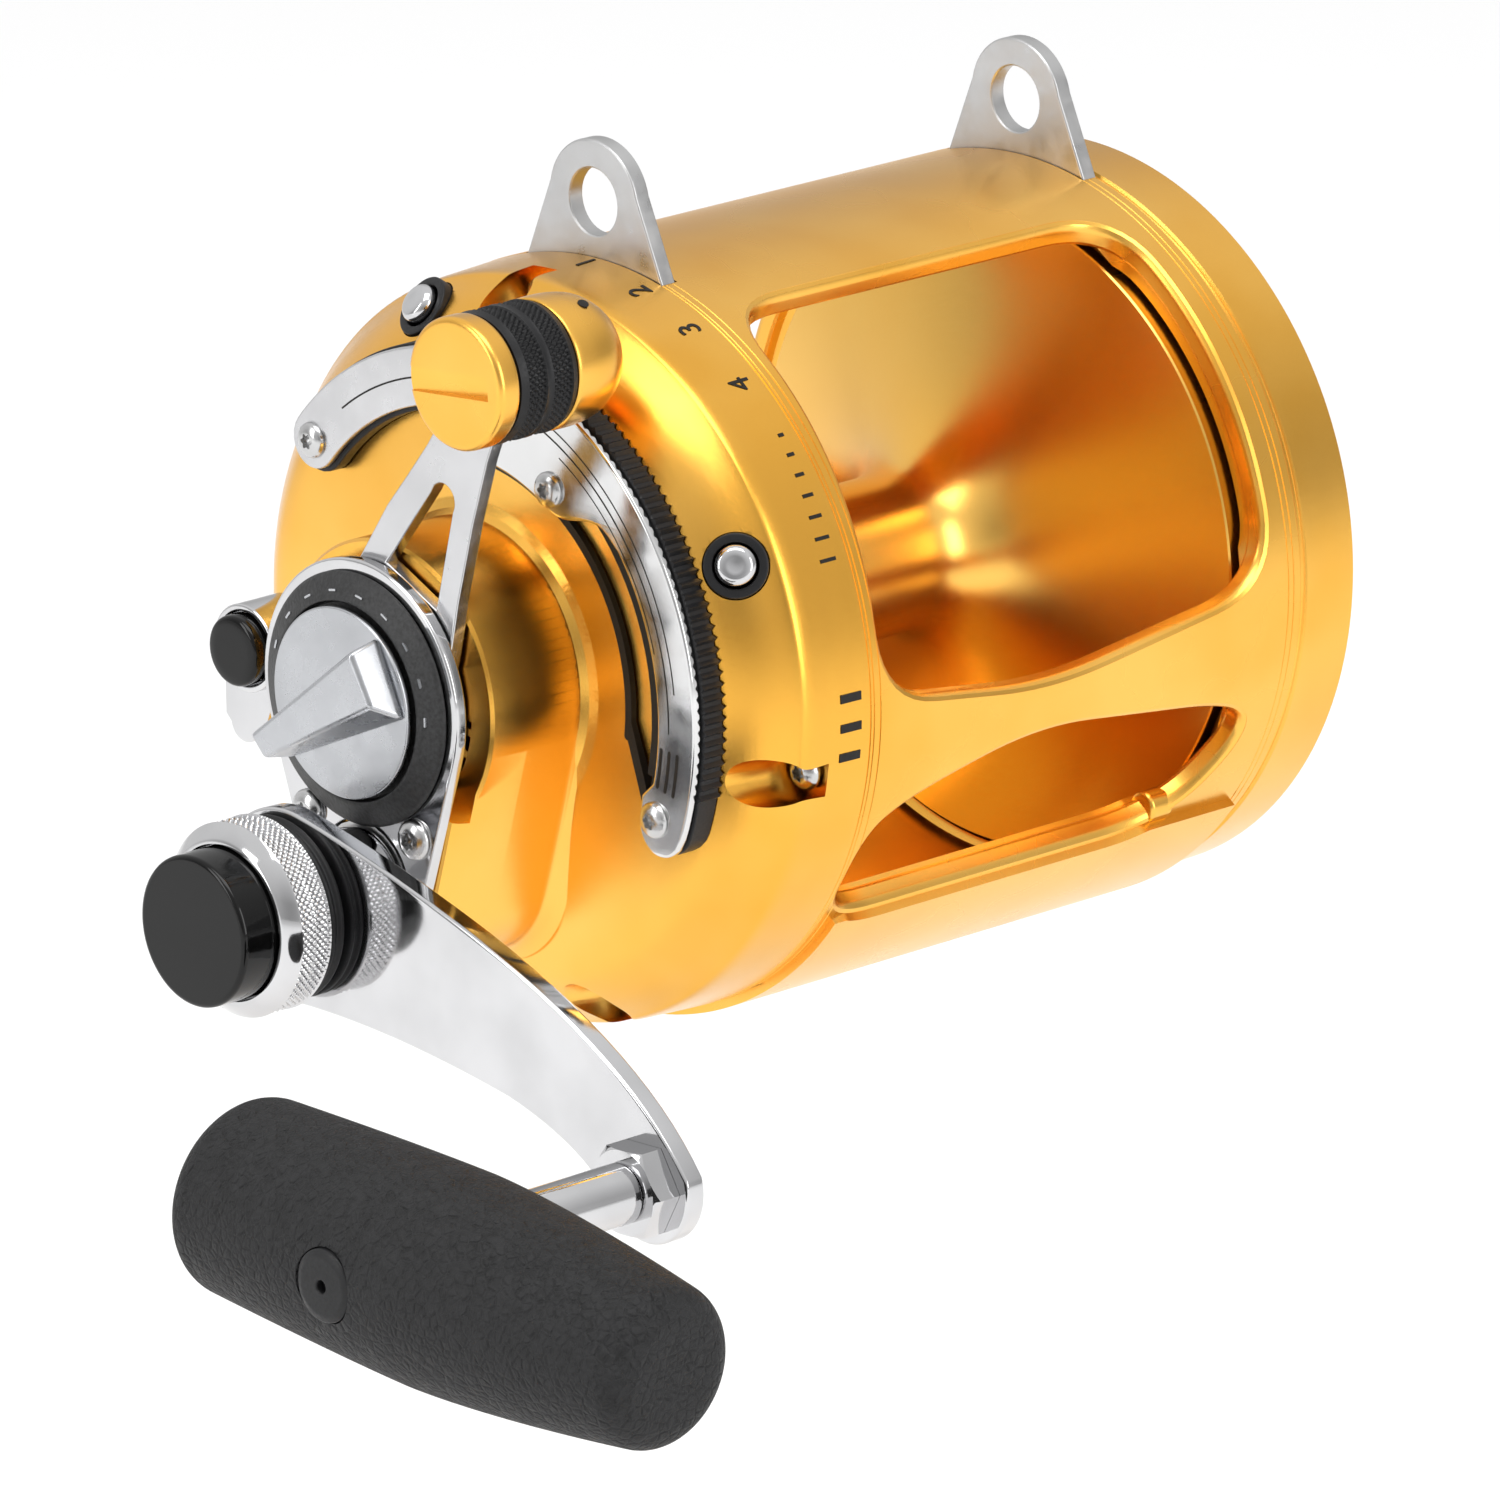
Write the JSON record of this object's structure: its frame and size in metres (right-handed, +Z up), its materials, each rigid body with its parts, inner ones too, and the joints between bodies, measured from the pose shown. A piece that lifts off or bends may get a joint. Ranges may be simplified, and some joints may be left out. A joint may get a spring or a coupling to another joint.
{
  "type": "trolling reel",
  "caption": "Lever-drag two-speed trolling reel: open frame with harness lugs, wide spool, drag lever over a toothed quadrant, preset knob, crank with long grip.",
  "frame": {"origin": "centre of the machined pad under the frame, where a rod foot or rod clamp is screwed on", "axes": "+X along the spool axis towards the handle side, +Y forwards, the way the line leaves, +Z up through the harness lugs"},
  "size_m": [0.2508, 0.2004, 0.1551],
  "materials": {
    "gold_anodised": "gold anodised, satin",
    "lug_steel": "brushed stainless",
    "quadrant_steel": "fine brushed, engraved",
    "polished_steel": "mirror polished",
    "screw_steel": "bright stainless",
    "satin_steel": "satin, turned",
    "black_anodised": "black anodised",
    "gloss_black": "gloss",
    "grip_rubber": "soft matt",
    "machined_steel": "machined",
    "gear_brass": "machined",
    "drag_carbon": "woven carbon"
  },
  "bodies": {
    "chassis": {"frame": "gold_anodised", "right_harness_lug": "lug_steel", "left_harness_lug": "lug_steel", "right_side_plate": "gold_anodised", "plate_screw_1": "screw_steel", "plate_screw_2": "screw_steel", "plate_screw_3": "screw_steel", "plate_screw_4": "screw_steel", "quadrant_carrier": "black_anodised", "free_spool_plate": "quadrant_steel", "strike_plate": "quadrant_steel", "quadrant_screw_1": "screw_steel", "quadrant_screw_2": "screw_steel", "quadrant_screw_3": "screw_steel", "strike_stop_bush": "black_anodised", "free_spool_stop_bush": "black_anodised", "bridge_plate": "polished_steel", "bridge_screw_1": "screw_steel", "bridge_screw_2": "screw_steel", "left_side_plate": "gold_anodised", "left_bearing_cap": "gold_anodised", "pinion_bearing": "machined_steel", "spool_shaft": "machined_steel", "belleville_washer": "machined_steel", "handle_bearing_inner": "machined_steel", "handle_bearing_outer": "machined_steel"},
    "spool": {"spool": "gold_anodised", "spool_bearing_left": "machined_steel", "spool_bearing_right": "machined_steel", "drag_washer": "drag_carbon", "line_pin": "gear_brass", "click_ratchet": "machined_steel"},
    "drive": {"drive_plate": "machined_steel", "pinion": "machined_steel"},
    "handle": {"handle_shaft": "machined_steel", "high_main_gear": "machined_steel", "handle_collar": "polished_steel", "handle_seal": "grip_rubber", "handle_hub": "polished_steel", "handle_arm": "polished_steel", "grip_nut": "polished_steel", "grip_spindle": "polished_steel"},
    "low_gear": {"low_main_gear": "gear_brass"},
    "shift_button": {"shift_button": "gloss_black"},
    "grip": {"grip": "grip_rubber", "grip_plug": "gloss_black"},
    "lever": {"drag_lever": "polished_steel", "drag_cam": "machined_steel", "lever_knob_body": "gold_anodised", "lever_knob_sleeve": "black_anodised", "lever_knob_cap": "gold_anodised"},
    "preset_dish": {"preset_dish": "black_anodised"},
    "preset_knob": {"preset_knob": "satin_steel"},
    "strike_stop": {"strike_stop_button": "polished_steel"},
    "free_spool_stop": {"free_spool_stop_button": "polished_steel"},
    "click_lever": {"click_lever": "polished_steel"},
    "click_lever_button": {"click_lever_button": "gloss_black"},
    "click_button": {"click_button": "gloss_black"},
    "ratchet_dog": {"ratchet_dog": "machined_steel"}
  },
  "joints": [
    {"name": "spool_spin", "type": "hinge", "parent": "chassis", "child": "spool", "pos_m": [0.00315, 0, 0.0616], "axis": [1, 0, 0], "continuous": true},
    {"name": "pinion_spin", "type": "hinge", "parent": "chassis", "child": "drive", "pos_m": [0.05815, 0, 0.0616], "axis": [1, 0, 0], "continuous": true},
    {"name": "handle_crank", "type": "hinge", "parent": "chassis", "child": "handle", "pos_m": [0.10815, 0, 0.0316], "axis": [1, 0, 0], "continuous": true},
    {"name": "low_gear_spin", "type": "hinge", "parent": "chassis", "child": "low_gear", "pos_m": [0.06365, 0, 0.0316], "axis": [1, 0, 0], "continuous": true},
    {"name": "grip_spin", "type": "hinge", "parent": "handle", "child": "grip", "pos_m": [0.16515, 0.08046, 0.00421], "axis": [1, 0, 0], "continuous": true},
    {"name": "shift_push", "type": "slide", "parent": "handle", "child": "shift_button", "axis": [-1, 0, 0], "range_m": [0, 0.003], "stiffness_N_per_m": 400},
    {"name": "drag_lever_swing", "type": "hinge", "parent": "chassis", "child": "lever", "pos_m": [0.09515, 0, 0.0616], "axis": [1, 0, 0], "range_deg": [-66.5, 50]},
    {"name": "preset_turn", "type": "hinge", "parent": "chassis", "child": "preset_dish", "pos_m": [0.10115, 0, 0.0616], "axis": [1, 0, 0], "range_deg": [-150, 150]},
    {"name": "preset_push", "type": "slide", "parent": "preset_dish", "child": "preset_knob", "axis": [-1, 0, 0], "range_m": [0, 0.0009], "stiffness_N_per_m": 300},
    {"name": "strike_stop_push", "type": "slide", "parent": "chassis", "child": "strike_stop", "axis": [-0.6691, -0.6707, -0.3199], "range_m": [0, 0.0022], "stiffness_N_per_m": 300},
    {"name": "free_spool_stop_push", "type": "slide", "parent": "chassis", "child": "free_spool_stop", "axis": [-0.788, 0.2055, -0.5804], "range_m": [0, 0.0022], "stiffness_N_per_m": 300},
    {"name": "click_lever_swing", "type": "hinge", "parent": "chassis", "child": "click_lever", "pos_m": [0.07815, -0.0458, 0.0572], "axis": [1, 0, 0], "range_deg": [-25, 25]},
    {"name": "click_lever_button_push", "type": "slide", "parent": "click_lever", "child": "click_lever_button", "axis": [-1, 0, 0], "range_m": [0, 0.002], "stiffness_N_per_m": 250},
    {"name": "click_button_slide", "type": "slide", "parent": "chassis", "child": "click_button", "axis": [0, 1, 0], "range_m": [-0.0024, 0.001]},
    {"name": "dog_swing", "type": "hinge", "parent": "chassis", "child": "ratchet_dog", "pos_m": [0.05315, -0.04074, 0.09343], "axis": [1, 0, 0], "range_deg": [0, 6], "stiffness_Nm_per_rad": 0.02}
  ],
  "couplings": [
    {"joint": "pinion_spin", "follows": "spool_spin", "ratio": 1},
    {"joint": "handle_crank", "follows": "spool_spin", "ratio": -0.41176},
    {"joint": "low_gear_spin", "follows": "spool_spin", "ratio": -0.77778}
  ]
}
